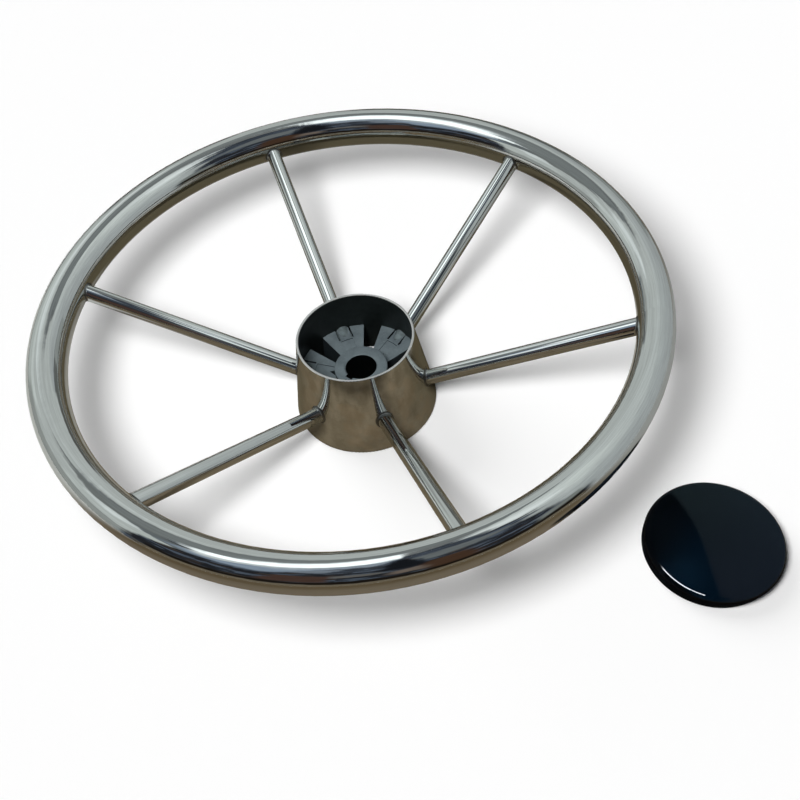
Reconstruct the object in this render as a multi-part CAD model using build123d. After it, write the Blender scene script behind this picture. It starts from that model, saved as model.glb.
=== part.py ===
from build123d import *
import os
from math import atan2, cos, radians, sin

# Six-spoke boat steering wheel, in millimetres.
# Z is the shaft's axis, up towards the face that the person steering sees.
# The origin is on that axis, in the plane of the hub's wide end.
# The first spoke points along +X.

# Rim
rim_outer_diameter = 343.0
rim_tube_diameter = 19.0
rim_tube_wall = 1.2
rim_plane_height = 73.5
rim_plane_radius = (rim_outer_diameter - rim_tube_diameter) / 2

# Hub shell, a cone of sheet that narrows towards the front
hub_base_radius = 45.0
hub_lip_radius = 34.2
hub_height = 51.0
hub_wall = 1.5
hub_edge_rounding = 0.6

# Spokes, round bars that slope down from the rim into the hub
spoke_count = 6
spoke_diameter = 9.0
spoke_entry_height = 21.3
spoke_end_inside_wall = 5.0
spoke_end_chamfer = 0.6
spoke_hole_clearance = 0.1
weld_leg = 1.3

# Cast insert: a boss on six arms
boss_radius = 16.3
boss_height = 27.0
boss_edge_rounding = 0.6
arm_top_at_wall = 23.6
arm_top_at_boss = 20.0
arm_underside = 6.0
arm_gap_half_angle = 8.7
arm_wall_clearance = 0.15
socket_clearance = 0.1
socket_end_gap = 4.5
slit_width = 1.2
slit_spacing = 8.6
slit_length = 8.5
slit_depth = 4.5
channel_width = 8.0
channel_depth = 0.5
relief_width = 5.0
relief_length = 4.5
relief_depth = 5.0

# Shaft bore with its keyway, in line with the fifth spoke
bore_radius = 9.55
bore_countersink = 0.7
keyway_width = 4.8
keyway_depth = 2.2
keyway_spoke = 5

# Push-on centre cap, lying on the surface beside the wheel
cap_radius = 37.6
cap_foot_radius = 36.6
cap_side_height = 9.2
cap_dome_rise = 3.0
cap_top_thickness = 2.2
cap_shoulder_rounding = 3.0
cap_foot_rounding = 1.4
cap_lip_clearance = 0.5
cap_ring_clearance = 0.3
cap_ring_wall = 1.8
cap_ring_setback = 0.6
cap_distance = 226.4
cap_angle = -22.6

# Derived
spoke_step = 360 / spoke_count
spoke_radius = spoke_diameter / 2
rim_tube_radius = rim_tube_diameter / 2


def shell_outer_radius(height):
    """Outer radius of the hub's cone at a height above its base."""
    return hub_base_radius + (hub_lip_radius - hub_base_radius) * height / hub_height


cone_lean = atan2(hub_base_radius - hub_lip_radius, hub_height)
hub_wall_across = hub_wall / cos(cone_lean)


def shell_inner_radius(height):
    """Inner radius of the hub's cone at a height above its base."""
    return shell_outer_radius(height) - hub_wall_across


spoke_entry_radius = shell_outer_radius(spoke_entry_height)
spoke_slope = atan2(rim_plane_height - spoke_entry_height, rim_plane_radius - spoke_entry_radius)
spoke_end_radius = shell_inner_radius(spoke_entry_height) - spoke_end_inside_wall
socket_end_radius = spoke_end_radius - socket_end_gap


def spoke_axis_point(radius):
    """Point on the first spoke's axis at a distance from the shaft's axis."""
    drop = (rim_plane_radius - radius) * sin(spoke_slope) / cos(spoke_slope)
    return Vector(radius, 0, rim_plane_height - drop)


def bar_along_spoke(start_radius, end_radius, bar_radius):
    """Round bar on the first spoke's axis between two distances from the shaft's axis."""
    start = spoke_axis_point(start_radius)
    end = spoke_axis_point(end_radius)
    plane = Plane(origin=start, x_dir=(0, 1, 0), z_dir=end - start)
    return plane * Cylinder(bar_radius, (end - start).length, align=(Align.CENTER, Align.CENTER, Align.MIN))


def turned(outline):
    """Solid of revolution about the shaft's axis from a closed outline of radius and height."""
    return revolve(Plane.XZ * make_face(outline), axis=Axis.Z)


def around(part, index):
    """The part turned to the place of one spoke."""
    return Rot(0, 0, index * spoke_step) * part


def build_rim_envelope():
    """The rim tube as a full ring, without its bore."""
    return Pos(0, 0, rim_plane_height) * Torus(rim_plane_radius, rim_tube_radius)


def build_rim_tube():
    """Ring bent from tube and closed by one butt weld, polished flush."""
    bore = Pos(0, 0, rim_plane_height) * Torus(rim_plane_radius, rim_tube_radius - rim_tube_wall)
    return build_rim_envelope() - bore


def build_cone_envelope():
    """The hub's cone as a full body, to seat the spokes and their welds on."""
    outline = Polyline(
        (0, 0),
        (hub_base_radius, 0),
        (hub_lip_radius, hub_height),
        (0, hub_height),
        close=True,
    )
    return turned(outline)


def weld_fillet(body, bar):
    """Ring of weld metal in the corner between a body and the bar that meets it."""
    joined = body + bar
    seams = [
        edge
        for edge in joined.edges()
        if edge.geom_type not in (GeomType.LINE, GeomType.CIRCLE)
        and edge.length < 6 * spoke_diameter
    ]
    return fillet(seams, weld_leg) - body - bar


def build_spoke():
    """Bar with a saddle cut where it meets the rim, its weld fillets, and its end in the hub."""
    bar = bar_along_spoke(spoke_end_radius, rim_plane_radius, spoke_radius)
    inner_end = bar.faces().sort_by(Axis.X)[0]
    bar = chamfer(inner_end.edges(), spoke_end_chamfer)
    rim = build_rim_envelope()
    middle = (spoke_entry_radius + rim_plane_radius) / 2
    rim_weld = weld_fillet(rim, bar_along_spoke(middle, rim_plane_radius, spoke_radius))
    hub_weld = weld_fillet(build_cone_envelope(), bar_along_spoke(spoke_end_radius, middle, spoke_radius))
    return bar - rim + rim_weld + hub_weld


def build_hub_shell():
    """Thin cone with rounded edges and a hole for each spoke."""
    outline = Polyline(
        (hub_base_radius - hub_wall_across, 0),
        (hub_base_radius, 0),
        (hub_lip_radius, hub_height),
        (hub_lip_radius - hub_wall_across, hub_height),
        close=True,
    )
    shell = turned(outline)
    shell = fillet(shell.edges().filter_by(GeomType.CIRCLE), hub_edge_rounding)
    hole_radius = spoke_radius + spoke_hole_clearance
    hole = bar_along_spoke(spoke_end_radius, spoke_entry_radius + hub_base_radius, hole_radius)
    for index in range(spoke_count):
        shell -= around(hole, index)
    return shell


def arm_height(radius):
    """Height of the arms' dished top at a distance from the shaft's axis."""
    wall = shell_inner_radius(arm_top_at_wall) - arm_wall_clearance
    share = (radius - boss_radius) / (wall - boss_radius)
    return arm_top_at_boss + share * (arm_top_at_wall - arm_top_at_boss)


def build_arm_disc():
    """The arms before they are parted: a disc with a dished top, fitted to the cone."""
    outline = Polyline(
        (0, arm_underside),
        (shell_inner_radius(arm_underside) - arm_wall_clearance, arm_underside),
        (shell_inner_radius(arm_top_at_wall) - arm_wall_clearance, arm_top_at_wall),
        (boss_radius, arm_top_at_boss),
        (0, arm_top_at_boss),
        close=True,
    )
    return turned(outline)


def build_arm_gap():
    """Wedge between two arms, on the line half way between two spokes."""
    reach = 2 * hub_base_radius
    middle = radians(spoke_step / 2)
    half = radians(arm_gap_half_angle)
    outline = Polyline(
        (0, 0),
        (reach * cos(middle - half), reach * sin(middle - half)),
        (reach * cos(middle + half), reach * sin(middle + half)),
        close=True,
    )
    return extrude(make_face(outline), boss_height)


def build_arm_channel():
    """Shallow channel along the top of an arm, from the boss to the end of the socket."""
    rise = boss_height
    floor = Polyline(
        (boss_radius, arm_height(boss_radius) - channel_depth),
        (socket_end_radius, arm_height(socket_end_radius) - channel_depth),
        (socket_end_radius, rise),
        (boss_radius, rise),
        close=True,
    )
    strip = Pos(socket_end_radius / 2, 0, 0) * Box(
        socket_end_radius, channel_width, 2 * rise, align=(Align.CENTER, Align.CENTER, Align.CENTER)
    )
    return turned(floor) & strip


def build_arm_relief():
    """Pointed pocket in the corner between an arm and the boss."""
    outline = Polyline(
        (0, relief_width / 2),
        (boss_radius, relief_width / 2),
        (boss_radius + relief_length, 0),
        (boss_radius, -relief_width / 2),
        (0, -relief_width / 2),
        close=True,
    )
    return Pos(0, 0, arm_top_at_boss - relief_depth) * extrude(make_face(outline), boss_height)


def build_arm_slits():
    """Two slits beside the spoke's end, open at the wall."""
    wall = shell_inner_radius(arm_top_at_wall)
    slit = Box(slit_length * 2, slit_width, slit_depth * 2)
    return [Pos(wall, side * slit_spacing / 2, arm_top_at_wall) * slit for side in (-1, 1)]


def build_bore():
    """Shaft bore, countersunk at the front, with its keyway."""
    bore = Cylinder(bore_radius, boss_height, align=(Align.CENTER, Align.CENTER, Align.MIN))
    mouth = Pos(0, 0, boss_height - bore_countersink) * Cone(
        bore_radius,
        bore_radius + bore_countersink,
        bore_countersink,
        align=(Align.CENTER, Align.CENTER, Align.MIN),
    )
    keyway = Box(
        bore_radius + keyway_depth,
        keyway_width,
        boss_height,
        align=(Align.MIN, Align.CENTER, Align.MIN),
    )
    return bore + mouth + around(keyway, keyway_spoke - 1)


def build_hub_insert():
    """Casting that carries the shaft bore, holds the spokes' ends and fills the cone."""
    disc = build_arm_disc()
    socket = bar_along_spoke(socket_end_radius, spoke_entry_radius + hub_base_radius, spoke_radius + socket_clearance)
    cutters = [build_arm_gap(), build_arm_channel(), build_arm_relief(), socket, *build_arm_slits()]
    for index in range(spoke_count):
        for cutter in cutters:
            disc -= around(cutter, index)
    boss = Cylinder(boss_radius, boss_height, align=(Align.CENTER, Align.CENTER, Align.MIN))
    rim_of_boss = boss.edges().filter_by(GeomType.CIRCLE)
    boss = fillet(rim_of_boss, boss_edge_rounding)
    return disc + boss - build_bore()


def domed_outline(foot_radius, edge_radius, edge_height, apex_height):
    """Half section under a shallow dome, from the axis out to a slightly leaning side."""
    rise = apex_height - edge_height
    dome_radius = (edge_radius**2 + rise**2) / (2 * rise)
    sides = Polyline((0, apex_height), (0, 0), (foot_radius, 0), (edge_radius, edge_height))
    dome = RadiusArc((0, apex_height), (edge_radius, edge_height), dome_radius)
    return make_face(sides + dome)


def build_centre_cap():
    """Domed cap: its skirt goes over the hub's lip and its inner ring goes inside it."""
    apex_height = cap_side_height + cap_dome_rise
    skirt_inner = hub_lip_radius + cap_lip_clearance
    ring_outer = hub_lip_radius - hub_wall_across - cap_ring_clearance
    underside_height = cap_side_height - cap_top_thickness

    section = domed_outline(cap_foot_radius, cap_radius, cap_side_height, apex_height)
    shoulder = section.vertices().sort_by(Axis.X)[-1]
    section = fillet(shoulder, cap_shoulder_rounding)
    foot = section.vertices().group_by(Axis.Y)[0].sort_by(Axis.X)[-1]
    section = fillet(foot, cap_foot_rounding)
    hollow = domed_outline(skirt_inner, skirt_inner, underside_height, apex_height - cap_top_thickness)
    ring = Pos(ring_outer - cap_ring_wall, cap_ring_setback) * Rectangle(
        cap_ring_wall, underside_height - cap_ring_setback + cap_top_thickness, align=(Align.MIN, Align.MIN)
    )
    section = section - hollow + ring
    cap = revolve(Plane.XZ * section, axis=Axis.Z)
    place = radians(cap_angle)
    return Pos(cap_distance * cos(place), cap_distance * sin(place), 0) * cap


def save(name, shape):
    """Write one piece to its own file."""
    shape.label = name
    export_step(shape, os.path.join("parts", name + ".step"))


os.makedirs("parts", exist_ok=True)
save("rim_tube", build_rim_tube())
save("hub_shell", build_hub_shell())
save("hub_insert", build_hub_insert())
first_spoke = build_spoke()
for number in range(spoke_count):
    save("spoke_" + str(number + 1), around(first_spoke, number))
save("centre_cap", build_centre_cap())
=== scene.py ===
from math import atan2, cos, degrees, radians, sin

import bpy
from mathutils import Matrix, Vector

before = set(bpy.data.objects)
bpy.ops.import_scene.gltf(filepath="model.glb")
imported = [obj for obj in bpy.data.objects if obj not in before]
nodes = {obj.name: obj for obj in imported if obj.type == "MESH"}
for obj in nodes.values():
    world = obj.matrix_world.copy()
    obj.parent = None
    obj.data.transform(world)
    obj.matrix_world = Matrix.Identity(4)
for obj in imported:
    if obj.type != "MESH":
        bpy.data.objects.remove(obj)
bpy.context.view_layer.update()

# Sizes that repeat part.py's, in metres.
RIM_RADIUS = 0.162
RIM_HEIGHT = 0.0735
RIM_TUBE_RADIUS = 0.0095
HUB_BASE_RADIUS = 0.045
HUB_LIP_RADIUS = 0.0342
HUB_HEIGHT = 0.051
HUB_WALL = 0.0015
HUB_EDGE_ROUNDING = 0.0006
SPOKE_COUNT = 6
SPOKE_ENTRY_RADIUS = 0.0405
SPOKE_ENTRY_HEIGHT = 0.0213
BORE_RADIUS = 0.00955
CAP_X = 0.2090
CAP_Y = -0.0870

SPOKE_SLOPE = atan2(RIM_HEIGHT - SPOKE_ENTRY_HEIGHT, RIM_RADIUS - SPOKE_ENTRY_RADIUS)
SPOKE_STEP = radians(360 / SPOKE_COUNT)
SPOKE_NAMES = [f"spoke_{index + 1}" for index in range(SPOKE_COUNT)]

# Polishing lines are noise that is squeezed along the grain. Round the axis they are as long as they
# would be on a ring of this radius.
GRAIN_SQUEEZE = 0.02
GRAIN_RING_RADIUS = 0.16
LINE_DEPTH = 0.0000025
RIPPLE_DEPTHS = {"round": 0.00006, "along": 0.00002}

# How far the weld beads show past the hub's wall, into it and past the rim's tube, and where the
# first and the last of these begin to fade.
BEAD_PAST_WALL = 0.0014
BEAD_PAST_WALL_SOLID = 0.0007
BEAD_INTO_WALL = 0.0006
BEAD_PAST_TUBE = 0.0010
BEAD_PAST_TUBE_SOLID = 0.0005

# The pale lip is the top of the hub's wall, partly a ground finish and partly a painted highlight: where
# it starts to show and where it is full, below the hub's height.
LIP_GROUND_AND_HIGHLIGHT_START = 0.0004
LIP_GROUND_AND_HIGHLIGHT_FULL = 0.0002

# Half the width over which the hub's outside fades into its inside, in the middle of the wall.
INSIDE_EDGE_SOFTNESS = 0.0001

# Steep faces this near to the bore are as dark as its wall, in painted shade: the edge of that and where
# it is full.
BORE_MARGIN = 0.0024
BORE_MARGIN_DARK = 0.0018

# Colours of the steel, the cast core and the plastic.
STEEL = (0.62, 0.635, 0.62)
STEEL_SMUDGED = (0.45, 0.45, 0.44)
STEEL_SCORED = (0.30, 0.31, 0.31)
STEEL_EDGE_TINT = (0.80, 0.80, 0.78)
WELD_BEAD = (0.10, 0.10, 0.095)
HUB_STAIN = (0.37, 0.36, 0.33)
HUB_TARNISH = (0.66, 0.60, 0.53)
# Pale lip: partly a ground finish, partly a painted highlight.
HUB_LIP_GROUND_AND_HIGHLIGHT = (0.52, 0.53, 0.52)
# Painted shade: the inside of the hub's wall is near-black, as shade falls in the hollow.
HUB_INSIDE_PAINTED_SHADE = (0.012, 0.016, 0.016)
SPOKE_INSIDE = (0.19, 0.235, 0.245)
CORE_STAINED = (0.125, 0.157, 0.172)
CORE_CLEAN = (0.180, 0.222, 0.238)
CORE_GRAIN = (0.30, 0.34, 0.35)
# Painted shade on the core's steep sides.
CORE_SIDES_PAINTED_SHADE = (0.008, 0.012, 0.014)
# Painted shade in the core's bore.
CORE_BORE_PAINTED_SHADE = (0.0015, 0.002, 0.002)
PLASTIC_DARK = (0.0008, 0.0011, 0.0016)
PLASTIC_HAZY = (0.0016, 0.0022, 0.0030)
PLASTIC_DUST = (0.09, 0.09, 0.09)

# The floor and the gel, a tinted clear sheet just over it.
FLOOR_RADIUS = 12.0
FLOOR_HEIGHT = -0.0002
GEL_RADIUS = 1.18
GEL_HEIGHT = -0.0001
GEL_DARK_PATCH = (0.205, 0.165, 0.108)
GEL_PALE_PATCH = (0.270, 0.220, 0.150)
GEL_NEAR = (0.235, 0.192, 0.140)
GEL_FAR = (0.155, 0.117, 0.070)
GEL_BEHIND_HUB = (0.130, 0.110, 0.070)
GEL_BEYOND_RIM = (0.22, 0.20, 0.165)
GEL_UNDER_CAP = (0.02, 0.02, 0.02)
# Its pale sides outside the ring: azimuth of the middle, half the width in degrees, and the tint.
GEL_SIDES = (
    (76, 28, (0.44, 0.45, 0.44)),
    (-86, 34, (0.70, 0.71, 0.69)),
)
# Its pale spots under the ring: x, y and radius in metres, and the tint.
GEL_SPOTS = (
    (0.131, 0.061, 0.045, (0.56, 0.53, 0.48)),
    (-0.148, 0.020, 0.055, (0.46, 0.44, 0.40)),
)

# The studio tent, where no panel covers it.
TENT_RADIUS = 1.2
TENT_LOW = (0.022, 0.024, 0.030)
TENT_HIGH = (0.050, 0.060, 0.078)
TENT_BLUE_STREAK = (0.12, 0.15, 0.20)
TENT_BROWN_STREAK = (0.10, 0.075, 0.06)
TENT_LINE = (0.016, 0.012, 0.008)
TENT_GROUND = (0.20, 0.165, 0.115)

# Soft panels of the studio tent, as seen from the wheel: colour, azimuth of the middle and half the
# width, elevation from and to, and the softness of the edges, all in degrees. Azimuth 0 is +Y and 90
# is +X. Each panel covers the ones before it.
PANELS = (
    # The wall at the right, paler towards its top.
    ((0.47, 0.505, 0.515), 66, 37, -2, 24, 1.5),
    ((0.50, 0.54, 0.55), 52, 53, 20, 42, 3.0),
    ((0.55, 0.595, 0.60), 52, 55, 34, 59, 4.0),
    ((0.66, 0.71, 0.71), 45, 47, 44, 66, 3.0),
    ((0.78, 0.84, 0.83), 36, 41, 55, 71, 3.0),
    ((0.88, 0.945, 0.95), 43, 31, 64, 76, 2.0),
    ((1.05, 1.12, 1.13), 46, 17, 67, 74, 3.0),
    # Low dark panels at the far side.
    ((0.16, 0.17, 0.165), 6, 9, -2, 19.5, 1.5),
    ((0.36, 0.39, 0.385), 22, 8, 6, 19.5, 1.5),
    ((0.24, 0.26, 0.255), 22, 8, -2, 6, 1.5),
    # The wall at the left, with its darker gaps.
    ((0.60, 0.645, 0.64), -48, 50, 15, 48, 2.0),
    ((0.23, 0.25, 0.25), -75, 15, 43, 58, 2.0),
    ((0.64, 0.69, 0.68), -106, 13, 20, 48, 2.0),
    ((0.90, 0.97, 0.98), -98, 7, 37, 50, 2.5),
    ((0.17, 0.19, 0.20), -105, 16, 48, 56, 1.5),
    ((0.40, 0.43, 0.42), -90, 30, -2, 20, 2.5),
    ((0.62, 0.67, 0.66), -61, 15, 5, 20, 2.0),
    ((0.76, 0.82, 0.81), -62, 14, 20, 31, 3.0),
    ((0.93, 1.00, 1.01), -46, 12, 31, 41, 4.0),
    ((0.40, 0.43, 0.42), -38, 7, 8, 19, 2.0),
    ((0.60, 0.645, 0.64), -21.5, 8, 2, 16, 1.5),
    ((0.13, 0.13, 0.12), -7, 8, -2, 14, 2.0),
    ((0.25, 0.275, 0.28), -38, 40, 49, 64, 1.5),
    # Bluish light high up at the left, on the camera's side.
    ((0.33, 0.41, 0.52), -128, 22, 51, 80, 3.5),
    ((0.50, 0.58, 0.66), -128, 12, 66, 90, 4.0),
    ((0.24, 0.28, 0.34), -157, 9, 60, 72, 3.0),
    ((0.36, 0.42, 0.50), -150, 32, 75, 90, 4.0),
    # The bright lamps overhead, and a dim gap beside them.
    ((0.80, 0.86, 0.88), -112, 9, 56, 90, 2.0),
    ((1.75, 1.88, 1.92), -62, 46, 66.5, 88, 4.5),
    ((1.75, 1.88, 1.92), -92, 15, 60, 86, 2.5),
    ((0.22, 0.235, 0.24), -8, 9, 62, 80, 3.0),
    # Dim panels on the camera's side.
    ((0.085, 0.05, 0.04), -167, 10, 20, 46, 2.0),
    ((0.20, 0.16, 0.135), 157, 7, 26, 40, 3.0),
    ((0.16, 0.155, 0.15), 176, 8, 37, 46, 2.0),
    ((0.19, 0.21, 0.22), 127, 22, 60, 80, 3.0),
    ((0.15, 0.16, 0.155), 112, 7, 4, 20, 2.0),
    ((0.25, 0.27, 0.26), 110, 8, 20, 33, 2.5),
    ((0.080, 0.044, 0.028), 145, 8, 3, 50, 3.0),
    ((0.012, 0.014, 0.018), 160, 9, 46, 84, 3.0),
)

# The same for the lamps that only the spokes mirror.
SPOKE_LIGHTS_RADIUS = 1.17
SPOKE_LIGHTS = (
    ((0.85, 0.92, 0.94), 120, 13, 75, 85, 3.0),
    ((1.15, 1.25, 1.28), 156, 13, 56, 73, 4.0),
    ((0.95, 1.00, 1.02), -130, 12, 43, 56, 3.0),
    ((0.40, 0.43, 0.44), -42, 18, 40, 53, 3.0),
    ((1.00, 1.08, 1.10), 68, 20, 78, 86, 3.0),
)

# The dome that only the cap mirrors. Its wall's edge is a curve with the crest at this azimuth and
# elevation, and falls away from there by so many degrees per square degree.
CAP_DOME_RADIUS = 1.19
CAP_WALL_CREST_AZIMUTH = 74
CAP_WALL_CREST_ELEVATION = 61.0
CAP_WALL_FALL = 0.0062
CAP_WALL_LEFT = (0.33, 0.55, 0.63)
CAP_WALL_RIGHT = (0.37, 0.55, 0.84)
CAP_DARK_LEFT = (0.015, 0.04, 0.07)
CAP_DARK_RIGHT = (0.03, 0.26, 0.60)
CAP_GLOW = (0.10, 0.50, 1.05)
CAP_LAMP = (62.0, 66.0, 70.0)
CAP_GROUND = (0.12, 0.12, 0.10)
CAP_LAMP_TOWARDS = (-0.594, -0.804)

# What the matt surfaces get from the world, where the background itself is 1.
WORLD_FILL = 0.03

KEY_LEVEL = 31.0
KEY_PLACE = (0.0, -0.243, 0.365)
KEY_RADIUS = 0.070
KEY_LOWEST_SLANT = 0.04

LEFT_WINDOW_LEVEL = 1.7
LEFT_WINDOW_WIDTH = radians(46)
LEFT_WINDOW_AZIMUTH = radians(-56)
LEFT_WINDOW_ELEVATION = radians(24)

# The camera, from the outlines of the rim, hub, spokes and cap in the photograph, which is 800 pixels
# square. The focal length and the lens's centre are in pixels.
PHOTO_SIDE = 800
SENSOR = 36.0
FOCAL_PIXELS = 617.79
LENS_CENTRE_X = 426.03
LENS_CENTRE_Y = 567.30
CAMERA_PLACE = (0.09231, -0.26424, 0.30942)
CAMERA_RIGHT = (0.98875, 0.14050, -0.05136)
CAMERA_UP = (-0.10435, 0.89379, 0.43618)
CAMERA_BACK = (0.10719, -0.42591, 0.89839)
NEAREST_SEEN = 0.01


def grey(value):
    return (value, value, value)


class Tree:
    """A node tree with short calls for the nodes that the materials are made of."""

    def __init__(self, tree):
        self.tree = tree
        tree.nodes.clear()

    def add(self, kind, **settings):
        node = self.tree.nodes.new(kind)
        for name, value in settings.items():
            setattr(node, name, value)
        return node

    def join(self, source, target):
        """Sets a socket to a value, or links it to another node's socket."""
        if isinstance(source, bpy.types.NodeSocket):
            self.tree.links.new(source, target)
        elif target.type == "RGBA":
            target.default_value = (*source, 1.0)
        elif source is not None:
            target.default_value = source

    def coordinate(self, name="Object"):
        return self.add("ShaderNodeTexCoord").outputs[name]

    def math(self, operation, a, b=None, c=None):
        node = self.add("ShaderNodeMath", operation=operation)
        for socket, value in zip(node.inputs, (a, b, c)):
            self.join(value, socket)
        return node.outputs[0]

    def plus(self, a, b):
        return self.math("ADD", a, b)

    def minus(self, a, b):
        return self.math("SUBTRACT", a, b)

    def times(self, a, b):
        return self.math("MULTIPLY", a, b)

    def times_plus(self, a, factor, extra):
        return self.math("MULTIPLY_ADD", a, factor, extra)

    def length(self, a, b):
        """The distance that a and b make at right angles."""
        return self.math("SQRT", self.plus(self.times(a, a), self.times(b, b)))

    def ramp(self, value, low, high, to_low=0.0, to_high=1.0):
        """Takes value from low..high to to_low..to_high, smoothly at both ends."""
        node = self.add("ShaderNodeMapRange", interpolation_type="SMOOTHSTEP")
        for socket, entry in zip(node.inputs, (value, low, high, to_low, to_high)):
            self.join(entry, socket)
        return node.outputs[0]

    def window(self, value, low, high, soft):
        """1 where value lies between low and high, with soft edges."""
        rise = self.ramp(value, low - soft, low + soft)
        fall = self.ramp(value, high + soft, high - soft)
        return self.times(rise, fall)

    def mix(self, factor, a, b):
        node = self.add("ShaderNodeMix", data_type="RGBA")
        node.clamp_factor = True
        self.join(factor, node.inputs[0])
        self.join(a, node.inputs[6])
        self.join(b, node.inputs[7])
        return node.outputs[2]

    def vector(self, x, y, z):
        node = self.add("ShaderNodeCombineXYZ")
        for socket, value in zip(node.inputs, (x, y, z)):
            self.join(value, socket)
        return node.outputs[0]

    def split(self, vector):
        node = self.add("ShaderNodeSeparateXYZ")
        self.join(vector, node.inputs[0])
        return node.outputs[0], node.outputs[1], node.outputs[2]

    def noise(self, vector, scale, detail=3.0, rough=0.5):
        node = self.add("ShaderNodeTexNoise")
        self.join(vector, node.inputs["Vector"])
        self.join(scale, node.inputs["Scale"])
        self.join(detail, node.inputs["Detail"])
        self.join(rough, node.inputs["Roughness"])
        return node.outputs[0]

    def cells(self, vector, scale):
        node = self.add("ShaderNodeTexVoronoi")
        self.join(vector, node.inputs["Vector"])
        self.join(scale, node.inputs["Scale"])
        return node.outputs[0]

    def bump(self, height, distance, strength=1.0):
        node = self.add("ShaderNodeBump")
        self.join(strength, node.inputs["Strength"])
        self.join(distance, node.inputs["Distance"])
        self.join(height, node.inputs["Height"])
        return node.outputs[0]

    def end(self, shader, kind="Material"):
        """Makes a shader's socket what the tree gives."""
        self.join(shader, self.add("ShaderNodeOutput" + kind).inputs[0])

    def end_surface(self, colour, roughness, normal, metallic, **constants):
        """Ends with a surface. Varying inputs are linked, constants are set on the shader itself."""
        shader = self.add("ShaderNodeBsdfPrincipled")
        self.join(colour, shader.inputs["Base Color"])
        self.join(roughness, shader.inputs["Roughness"])
        self.join(normal, shader.inputs["Normal"])
        self.join(metallic, shader.inputs["Metallic"])
        for name, value in constants.items():
            self.join(value, shader.inputs[name.replace("_", " ")])
        self.end(shader.outputs[0])

    def end_clear_glow(self, colour):
        """Ends with a glow that lets what is behind it through."""
        glow = self.add("ShaderNodeEmission")
        self.join(colour, glow.inputs["Color"])
        clear = self.add("ShaderNodeBsdfTransparent")
        both = self.add("ShaderNodeAddShader")
        self.join(glow.outputs[0], both.inputs[0])
        self.join(clear.outputs[0], both.inputs[1])
        self.end(both.outputs[0])


def new_material(name):
    material = bpy.data.materials.new(name)
    material.use_nodes = True
    return material, Tree(material.node_tree)


def grain_round(t, angle, across, z):
    """The place on a turned piece, squeezed round the axis."""
    return t.vector(t.times(angle, GRAIN_RING_RADIUS * GRAIN_SQUEEZE), across, z)


def grain_along(t, angle, across, z):
    """The place on a spoke: along it and squeezed, sideways, and square to both."""
    turn = t.minus(t.math("FLOORED_MODULO", t.plus(angle, SPOKE_STEP / 2), SPOKE_STEP), SPOKE_STEP / 2)
    along = t.plus(t.times(across, cos(SPOKE_SLOPE)), t.times(z, sin(SPOKE_SLOPE)))
    height = t.minus(t.times(z, cos(SPOKE_SLOPE)), t.times(across, sin(SPOKE_SLOPE)))
    return t.vector(t.times(along, GRAIN_SQUEEZE), t.times(turn, across), height)


def cone_radius(t, z):
    """The radius of the hub's outside at the height z."""
    narrowing = (HUB_BASE_RADIUS - HUB_LIP_RADIUS) / HUB_HEIGHT
    return t.times_plus(z, -narrowing, HUB_BASE_RADIUS)


def weld_beads(t, across, z):
    """1 on the weld beads at both ends of a spoke."""
    past_wall = t.minus(across, cone_radius(t, z))
    at_hub = t.times(t.ramp(past_wall, BEAD_PAST_WALL, BEAD_PAST_WALL_SOLID),
                     t.ramp(past_wall, -BEAD_INTO_WALL, 0.0))
    to_ring = t.length(t.minus(across, RIM_RADIUS), t.minus(z, RIM_HEIGHT))
    at_rim = t.ramp(t.minus(to_ring, RIM_TUBE_RADIUS), BEAD_PAST_TUBE, BEAD_PAST_TUBE_SOLID)
    return t.math("MAXIMUM", at_hub, at_rim)


def inside_hub(t, across, z):
    """1 on what lies inside the middle of the hub's wall and below its lip."""
    depth = t.minus(t.minus(cone_radius(t, z), HUB_WALL / 2), across)
    under_lip = t.math("LESS_THAN", z, HUB_HEIGHT - HUB_EDGE_ROUNDING)
    return t.times(t.ramp(depth, -INSIDE_EDGE_SOFTNESS, INSIDE_EDGE_SOFTNESS), under_lip)


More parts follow.
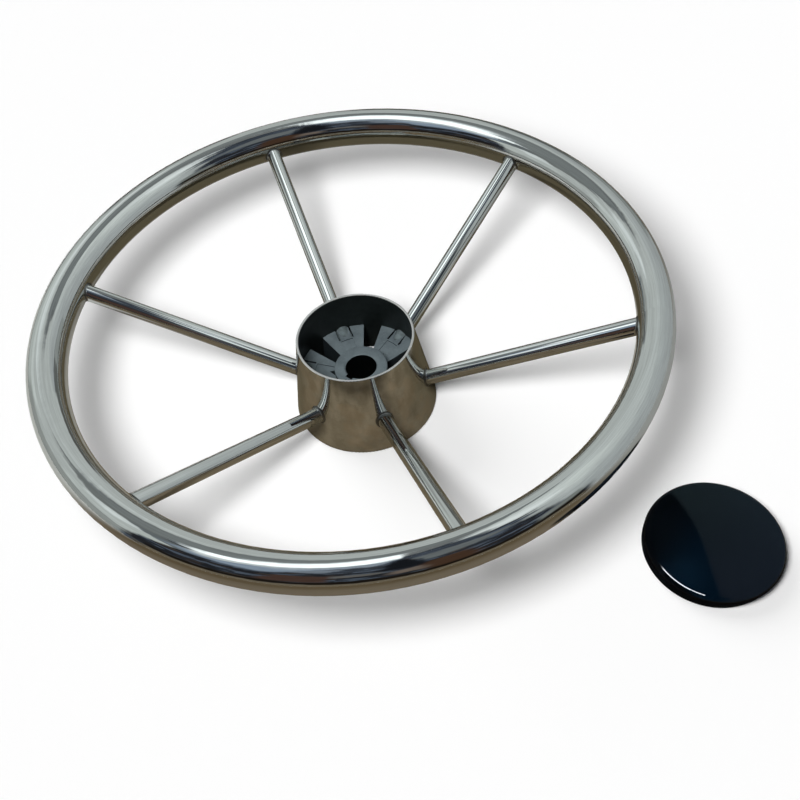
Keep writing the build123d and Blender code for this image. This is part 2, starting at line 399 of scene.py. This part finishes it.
def steel(name, grain, inside_colour=None, inside_rough=0.5):
    """Polished stainless steel with fine polishing lines, smudges and a slightly uneven polish.

    The grain runs round the axis, or along the spokes. The hub is also stained and has a pale lip, partly
    a ground finish and partly a painted highlight. Inside the hub's shell, its near-black inside colour
    is painted shade.
    Where an inside colour is given, what lies inside the hub is dull and has that colour."""
    material, t = new_material(name)
    place = t.coordinate()
    x, y, z = t.split(place)
    across = t.length(x, y)
    angle = t.math("ARCTAN2", y, x)
    if grain == "round":
        fibre = grain_round(t, angle, across, z)
    else:
        fibre = grain_along(t, angle, across, z)
    lines = t.noise(fibre, scale=2600.0, detail=4.0, rough=0.6)
    smudge = t.noise(place, scale=34.0, detail=4.0, rough=0.6)
    colour = t.mix(t.ramp(smudge, 0.35, 0.7, 0.0, 0.10), STEEL, STEEL_SMUDGED)
    colour = t.mix(t.ramp(lines, 0.40, 0.75, 0.0, 0.18), colour, STEEL_SCORED)
    rough = t.ramp(smudge, 0.3, 0.75, 0.025, 0.085)
    metallic = 1.0
    if grain == "along":
        rough = t.times_plus(rough, 0.5, t.ramp(lines, 0.45, 0.75, 0.0, 0.04))
        # The weld beads are darker and duller than the polished bar.
        bead = weld_beads(t, across, z)
        colour = t.mix(t.times(bead, 0.85), colour, WELD_BEAD)
        rough = t.plus(rough, t.times(bead, 0.3))
    if name.startswith("hub"):
        stain = t.noise(place, scale=130.0, detail=4.0, rough=0.6)
        colour = t.mix(t.ramp(stain, 0.46, 0.60, 0.0, 0.27), colour, HUB_STAIN)
        tarnish = t.noise(place, scale=55.0, detail=3.0, rough=0.55)
        colour = t.mix(t.ramp(tarnish, 0.5, 0.60, 0.0, 0.45), colour, HUB_TARNISH)
        # The pale lip is partly a ground finish and partly a painted highlight.
        lip = t.ramp(z, HUB_HEIGHT - LIP_GROUND_AND_HIGHLIGHT_START, HUB_HEIGHT - LIP_GROUND_AND_HIGHLIGHT_FULL)
        colour = t.mix(lip, colour, HUB_LIP_GROUND_AND_HIGHLIGHT)
        rough = t.plus(rough, t.times(lip, 0.25))
        metallic = t.minus(1.0, t.times(lip, 0.45))
    # On the hub's shell the inside colour is painted shade; on the spokes it is their dull grey.
    if inside_colour is not None:
        inside = inside_hub(t, across, z)
        mottle = t.noise(place, scale=260.0, detail=5.0, rough=0.65)
        darker = tuple(0.6 * channel for channel in inside_colour)
        colour = t.mix(inside, colour, t.mix(t.ramp(mottle, 0.3, 0.7), darker, inside_colour))
        rough = t.plus(t.times(rough, t.minus(1.0, inside)), t.times(inside, inside_rough))
        metallic = t.minus(metallic, t.times(inside, 0.7))
    ripple = t.noise(place, scale=95.0, detail=2.0, rough=0.45)
    height = t.plus(t.times(lines, LINE_DEPTH), t.times(ripple, RIPPLE_DEPTHS[grain]))
    t.end_surface(colour, rough, t.bump(height, distance=1.0), metallic, Specular_Tint=STEEL_EDGE_TINT)
    return material


def cast_metal(name):
    """Dull grey cast core, with a fine grain and stains. Its steep sides and its bore are dark with
    painted shade.
    """
    material, t = new_material(name)
    place = t.coordinate()
    x, y, _ = t.split(place)
    up = t.split(t.coordinate("Normal"))[2]
    grain = t.noise(place, scale=900.0, detail=5.0, rough=0.6)
    stain = t.noise(place, scale=120.0, detail=4.0, rough=0.6)
    colour = t.mix(t.ramp(stain, 0.3, 0.7), CORE_STAINED, CORE_CLEAN)
    colour = t.mix(t.ramp(grain, 0.55, 0.75, 0.0, 0.35), colour, CORE_GRAIN)
    # Painted shade: steep faces turn near-black, as if in shade.
    colour = t.mix(t.ramp(up, 0.5, 0.1, 0.0, 0.93), colour, CORE_SIDES_PAINTED_SHADE)
    # Painted shade: the bore and the steep faces close to it are near-black.
    bore_shade = t.ramp(t.length(x, y), BORE_RADIUS + BORE_MARGIN, BORE_RADIUS + BORE_MARGIN_DARK)
    colour = t.mix(t.times(bore_shade, t.ramp(up, 0.3, 0.1)), colour, CORE_BORE_PAINTED_SHADE)
    rough = t.ramp(stain, 0.3, 0.7, 0.45, 0.62)
    height = t.plus(grain, t.times(t.cells(place, scale=700.0), 0.5))
    t.end_surface(colour, rough, t.bump(height, distance=0.00008, strength=0.6), metallic=0.25)
    return material


def black_plastic(name):
    """Glossy black moulded plastic with a faint haze, unevenness and dust."""
    material, t = new_material(name)
    place = t.coordinate()
    haze = t.noise(place, scale=45.0, detail=3.0, rough=0.5)
    dust = t.cells(place, scale=420.0)
    uneven = t.noise(place, scale=800.0, detail=3.0, rough=0.5)
    colour = t.mix(t.ramp(haze, 0.3, 0.7), PLASTIC_DARK, PLASTIC_HAZY)
    colour = t.mix(t.ramp(dust, 0.06, 0.03, 0.0, 0.10), colour, PLASTIC_DUST)
    rough = t.ramp(haze, 0.3, 0.7, 0.03, 0.06)
    normal = t.bump(uneven, distance=0.000006, strength=0.3)
    t.end_surface(colour, rough, normal, metallic=0.0, IOR=1.5, Specular_IOR_Level=0.19)
    return material


def pale_floor():
    material, t = new_material("studio_floor")
    cloud = t.noise(t.coordinate(), scale=3.0, detail=2.0, rough=0.5)
    surface = t.add("ShaderNodeBsdfDiffuse")
    t.join(t.mix(cloud, grey(0.955), grey(0.965)), surface.inputs["Color"])
    t.end(surface.outputs[0])
    return material


def warm_gel():
    """The tint of the clear sheet through which the metal mirrors the floor.

    It is brown in front of the wheel, darker brown inside the ring behind the hub, and pale at both
    sides. Distances are in metres, and reach is the distance from the axis."""
    material, t = new_material("studio_gel")
    place = t.coordinate()
    x, y, _ = t.split(place)
    reach = t.length(x, y)
    patch = t.noise(place, scale=28.0, detail=3.0, rough=0.55)
    tint = t.mix(t.ramp(patch, 0.35, 0.65), GEL_DARK_PATCH, GEL_PALE_PATCH)
    near_or_far = t.mix(t.ramp(reach, 0.19, 0.45), GEL_NEAR, GEL_FAR)
    tint = t.mix(t.ramp(reach, 0.14, 0.20), tint, near_or_far)
    behind = t.times(t.ramp(y, -0.06, 0.05), t.ramp(reach, 0.21, 0.17))
    tint = t.mix(behind, tint, GEL_BEHIND_HUB)
    outer = t.ramp(reach, 0.175, 0.215)
    beyond = t.times(outer, t.ramp(y, 0.05, 0.16))
    tint = t.mix(beyond, tint, GEL_BEYOND_RIM)
    azimuth = t.times(t.math("ARCTAN2", x, y), degrees(1))
    for middle, half, colour in GEL_SIDES:
        mask = t.window(t.minus(azimuth, middle), -half, half, 12)
        tint = t.mix(t.times(mask, outer), tint, colour)
    for spot_x, spot_y, size, colour in GEL_SPOTS:
        aside = t.length(t.minus(x, spot_x), t.minus(y, spot_y))
        tint = t.mix(t.ramp(aside, size, size * 0.5), tint, colour)
    from_cap = t.length(t.minus(x, CAP_X), t.minus(y, CAP_Y))
    tint = t.mix(t.ramp(from_cap, 0.064, 0.050), tint, GEL_UNDER_CAP)
    sheet = t.add("ShaderNodeBsdfTransparent")
    t.join(tint, sheet.inputs["Color"])
    t.end(sheet.outputs[0])
    return material


def dome_angles(t):
    """A dome's azimuth and elevation in degrees, and its direction."""
    normalize = t.add("ShaderNodeVectorMath", operation="NORMALIZE")
    t.join(t.coordinate(), normalize.inputs[0])
    direction = normalize.outputs[0]
    x, y, z = t.split(direction)
    azimuth = t.times(t.math("ARCTAN2", x, y), degrees(1))
    elevation = t.times(t.math("ARCSINE", z), degrees(1))
    return azimuth, elevation, direction


def lay_panels(t, colour, azimuth, elevation, panels):
    for tint, middle, half, low, high, soft in panels:
        offset = t.math("WRAP", t.minus(azimuth, middle), -180, 180)
        mask = t.times(t.window(offset, -half, half, soft), t.window(elevation, low, high, soft))
        colour = t.mix(mask, colour, tint)
    return colour


def tent_material():
    material, t = new_material("studio_tent")
    azimuth, elevation, direction = dome_angles(t)
    # The tent's cloth isn't taut, so its edges and seams wander a little.
    sag = t.minus(t.noise(direction, scale=7.0, detail=3.0, rough=0.6), 0.5)
    elevation = t.times_plus(sag, 7.0, elevation)
    sway = t.minus(t.noise(direction, scale=5.0, detail=2.0, rough=0.5), 0.5)
    azimuth = t.times_plus(sway, 6.0, azimuth)
    colour = t.mix(t.ramp(elevation, 48, 64), TENT_LOW, TENT_HIGH)
    # Streaks of bluish and brownish light in the dark part of the tent.
    stretched = t.vector(t.times(azimuth, 0.055), t.times(elevation, 0.16), 4.0)
    streak = t.noise(stretched, scale=1.0, detail=3.0, rough=0.6)
    colour = t.mix(t.ramp(streak, 0.50, 0.60, 0.0, 0.85), colour, TENT_BLUE_STREAK)
    colour = t.mix(t.ramp(streak, 0.40, 0.34, 0.0, 0.8), colour, TENT_BROWN_STREAK)
    colour = lay_panels(t, colour, azimuth, elevation, PANELS)
    # On the camera's side, a dark line over the ground, and the ground that the gel doesn't reach.
    from_far_side = t.math("ABSOLUTE", t.plus(azimuth, 11))
    line = t.times(t.window(elevation, 9, 19, 2.5), t.ramp(from_far_side, 110, 118))
    colour = t.mix(line, colour, TENT_LINE)
    ground = t.times(t.ramp(elevation, 9.5, 7.5), t.ramp(from_far_side, 110, 120))
    colour = t.mix(ground, colour, TENT_GROUND)
    folds = t.noise(direction, scale=11.0, detail=4.0, rough=0.6)
    glow = t.add("ShaderNodeEmission")
    t.join(colour, glow.inputs["Color"])
    t.join(t.ramp(folds, 0.3, 0.7, 0.92, 1.07), glow.inputs["Strength"])
    t.end(glow.outputs[0])
    return material


def cap_dome_material():
    """The part of the studio that the cap mirrors: a dark side, a bluish wall and a bright strip lamp."""
    material, t = new_material("studio_cap_dome")
    azimuth, elevation, direction = dome_angles(t)
    from_crest = t.minus(azimuth, CAP_WALL_CREST_AZIMUTH)
    edge = t.times_plus(t.times(from_crest, from_crest), -CAP_WALL_FALL, CAP_WALL_CREST_ELEVATION)
    above = t.minus(elevation, edge)
    wall = t.mix(t.ramp(azimuth, 20, 80), CAP_WALL_LEFT, CAP_WALL_RIGHT)
    dark = t.mix(t.ramp(azimuth, 25, 60), CAP_DARK_LEFT, CAP_DARK_RIGHT)
    colour = t.mix(t.ramp(above, -1.2, 1.2), wall, dark)
    glow_spot = t.times(t.window(azimuth, 52, 76, 8), t.window(elevation, 66, 71, 4))
    colour = t.mix(glow_spot, colour, CAP_GLOW)
    # The lamp is a wide band that only the cap's rounded shoulder mirrors. It is placed by how far a
    # direction leans towards the camera's left and across that, and it widens with the lean.
    x, y, _ = t.split(direction)
    towards_x, towards_y = CAP_LAMP_TOWARDS
    lean = t.plus(t.times(x, towards_x), t.times(y, towards_y))
    across = t.plus(t.times(x, -towards_y), t.times(y, towards_x))
    half_width = t.times_plus(lean, 0.33, 0.235)
    place_in = t.math("DIVIDE", t.minus(across, 0.159), half_width)
    strip = t.times(t.window(place_in, -0.85, 0.95, 0.15), t.window(lean, -0.212, 0.08, 0.008))
    colour = t.mix(strip, colour, CAP_LAMP)
    colour = t.mix(t.ramp(elevation, 14, 6), colour, CAP_GROUND)
    t.end_clear_glow(colour)
    return material


def spoke_lights_material():
    """Narrow lamps near the spokes, added to what the spokes mirror of the tent."""
    material, t = new_material("studio_spoke_lights")
    azimuth, elevation, _ = dome_angles(t)
    t.end_clear_glow(lay_panels(t, grey(0.0), azimuth, elevation, SPOKE_LIGHTS))
    return material


def link(piece):
    bpy.context.scene.collection.objects.link(piece)


def circle(radius, height, sides):
    turns = [radians(360 * side / sides) for side in range(sides)]
    return [(radius * cos(turn), radius * sin(turn), height) for turn in turns]


def stage_mesh(name, points, faces, material, hidden_from):
    """A piece of the stage that the named kinds of ray pass by."""
    mesh = bpy.data.meshes.new(name)
    mesh.from_pydata(points, [], faces)
    mesh.materials.append(material)
    piece = bpy.data.objects.new(name, mesh)
    link(piece)
    for kind in hidden_from:
        setattr(piece, "visible_" + kind, False)
    return piece


def disc(name, radius, height, material, hidden_from=(), sides=96):
    return stage_mesh(name, circle(radius, height, sides), [list(range(sides))], material, hidden_from)


def studio_dome(name, radius, material, rings=24, sides=96):
    """A dome that is mirrored. It throws no light or shadow on the object."""
    points = [(0, 0, radius)]
    faces = []
    for ring in range(1, rings + 1):
        polar = radians(90 * ring / rings)
        points += circle(radius * sin(polar), radius * cos(polar), sides)
    for side in range(sides):
        after = (side + 1) % sides
        faces.append((0, 1 + side, 1 + after))
        for ring in range(rings - 1):
            first = 1 + ring * sides
            faces.append((first + side, first + sides + side, first + sides + after, first + after))
    return stage_mesh(name, points, faces, material, ("camera", "diffuse", "shadow"))


def light_only(dome, wanted, names):
    """Lets a dome be mirrored by the named nodes alone (INCLUDE), or by all but these (EXCLUDE)."""
    group = bpy.data.collections.new(dome.name + "_receivers")
    for node_name in names:
        group.objects.link(nodes[node_name])
    for entry in group.collection_objects:
        entry.light_linking.link_state = wanted
    dome.light_linking.receiver_collection = group


def build_world():
    """White for the rays that see the background as it is: camera, glossy and transmission rays."""
    world = bpy.data.worlds.new("studio")
    bpy.context.scene.world = world
    world.use_nodes = True
    t = Tree(world.node_tree)
    path = t.add("ShaderNodeLightPath")
    seen = t.math("MAXIMUM", path.outputs["Is Camera Ray"], path.outputs["Is Glossy Ray"])
    seen = t.math("MAXIMUM", seen, path.outputs["Is Transmission Ray"])
    background = t.add("ShaderNodeBackground")
    t.join(grey(1.0), background.inputs["Color"])
    t.join(t.ramp(seen, 0, 1, WORLD_FILL, 1.0), background.inputs["Strength"])
    t.end(background.outputs[0], "World")


def build_key_light():
    """A soft globe. Its light doesn't fade with distance and is even over the floor."""
    light = bpy.data.lights.new("key_light", "POINT")
    light.shadow_soft_size = KEY_RADIUS
    light.energy = 1.0
    light.use_nodes = True
    t = Tree(light.node_tree)
    falloff = t.add("ShaderNodeLightFalloff")
    t.join(KEY_LEVEL, falloff.inputs["Strength"])
    downward = t.math("ABSOLUTE", t.split(t.coordinate("Normal"))[2])
    slant = t.math("MAXIMUM", downward, KEY_LOWEST_SLANT)
    globe = t.add("ShaderNodeEmission")
    t.join(t.math("DIVIDE", falloff.outputs["Constant"], slant), globe.inputs["Strength"])
    t.end(globe.outputs[0], "Light")
    lamp = bpy.data.objects.new("key_light", light)
    link(lamp)
    lamp.location = KEY_PLACE
    lamp.visible_camera = False
    lamp.visible_glossy = False


def build_left_window():
    """A wide soft window low at the left. Only the hub and the cap stand in its light."""
    light = bpy.data.lights.new("left_window", "SUN")
    light.angle = LEFT_WINDOW_WIDTH
    light.energy = LEFT_WINDOW_LEVEL
    lamp = bpy.data.objects.new("left_window", light)
    link(lamp)
    level = cos(LEFT_WINDOW_ELEVATION)
    toward = Vector((level * sin(LEFT_WINDOW_AZIMUTH), level * cos(LEFT_WINDOW_AZIMUTH),
                     sin(LEFT_WINDOW_ELEVATION)))
    lamp.rotation_euler = toward.to_track_quat("Z", "Y").to_euler()
    lamp.visible_glossy = False
    in_the_way = bpy.data.collections.new("left_window_blockers")
    for node_name in ("hub_shell", "hub_insert", "centre_cap"):
        in_the_way.objects.link(nodes[node_name])
    lamp.light_linking.blocker_collection = in_the_way


def build_camera():
    data = bpy.data.cameras.new("camera")
    data.sensor_width = SENSOR
    data.lens = FOCAL_PIXELS * SENSOR / PHOTO_SIDE
    data.shift_x = (PHOTO_SIDE / 2 - LENS_CENTRE_X) / PHOTO_SIDE
    data.shift_y = (LENS_CENTRE_Y - PHOTO_SIDE / 2) / PHOTO_SIDE
    data.clip_start = NEAREST_SEEN
    camera = bpy.data.objects.new("camera", data)
    link(camera)
    turned = Matrix((CAMERA_RIGHT, CAMERA_UP, CAMERA_BACK)).transposed().to_4x4()
    camera.matrix_world = Matrix.Translation(CAMERA_PLACE) @ turned
    bpy.context.scene.camera = camera


finishes = {
    "rim_tube": steel("rim_polished_steel", "round"),
    # The hub's near-black inside colour is painted shade.
    "hub_shell": steel("hub_polished_steel", "round", HUB_INSIDE_PAINTED_SHADE, 0.48),
    "hub_insert": cast_metal("hub_cast_core"),
    "centre_cap": black_plastic("cap_black_plastic"),
}
spoke_steel = steel("spoke_polished_steel", "along", SPOKE_INSIDE, 0.5)
for spoke_name in SPOKE_NAMES:
    finishes[spoke_name] = spoke_steel
for node_name, material in finishes.items():
    for slot in nodes[node_name].material_slots:
        slot.material = material

disc("studio_floor", FLOOR_RADIUS, FLOOR_HEIGHT, pale_floor())
disc("studio_gel", GEL_RADIUS, GEL_HEIGHT, warm_gel(), ("camera", "diffuse", "transmission", "shadow"))
tent = studio_dome("studio_tent", TENT_RADIUS, tent_material())
light_only(tent, "EXCLUDE", ["centre_cap"])
cap_dome = studio_dome("studio_cap_dome", CAP_DOME_RADIUS, cap_dome_material())
light_only(cap_dome, "INCLUDE", ["centre_cap"])
spoke_dome = studio_dome("studio_spoke_lights", SPOKE_LIGHTS_RADIUS, spoke_lights_material())
light_only(spoke_dome, "INCLUDE", SPOKE_NAMES)
build_world()
build_key_light()
build_left_window()
build_camera()

bpy.context.scene.view_settings.view_transform = "Standard"
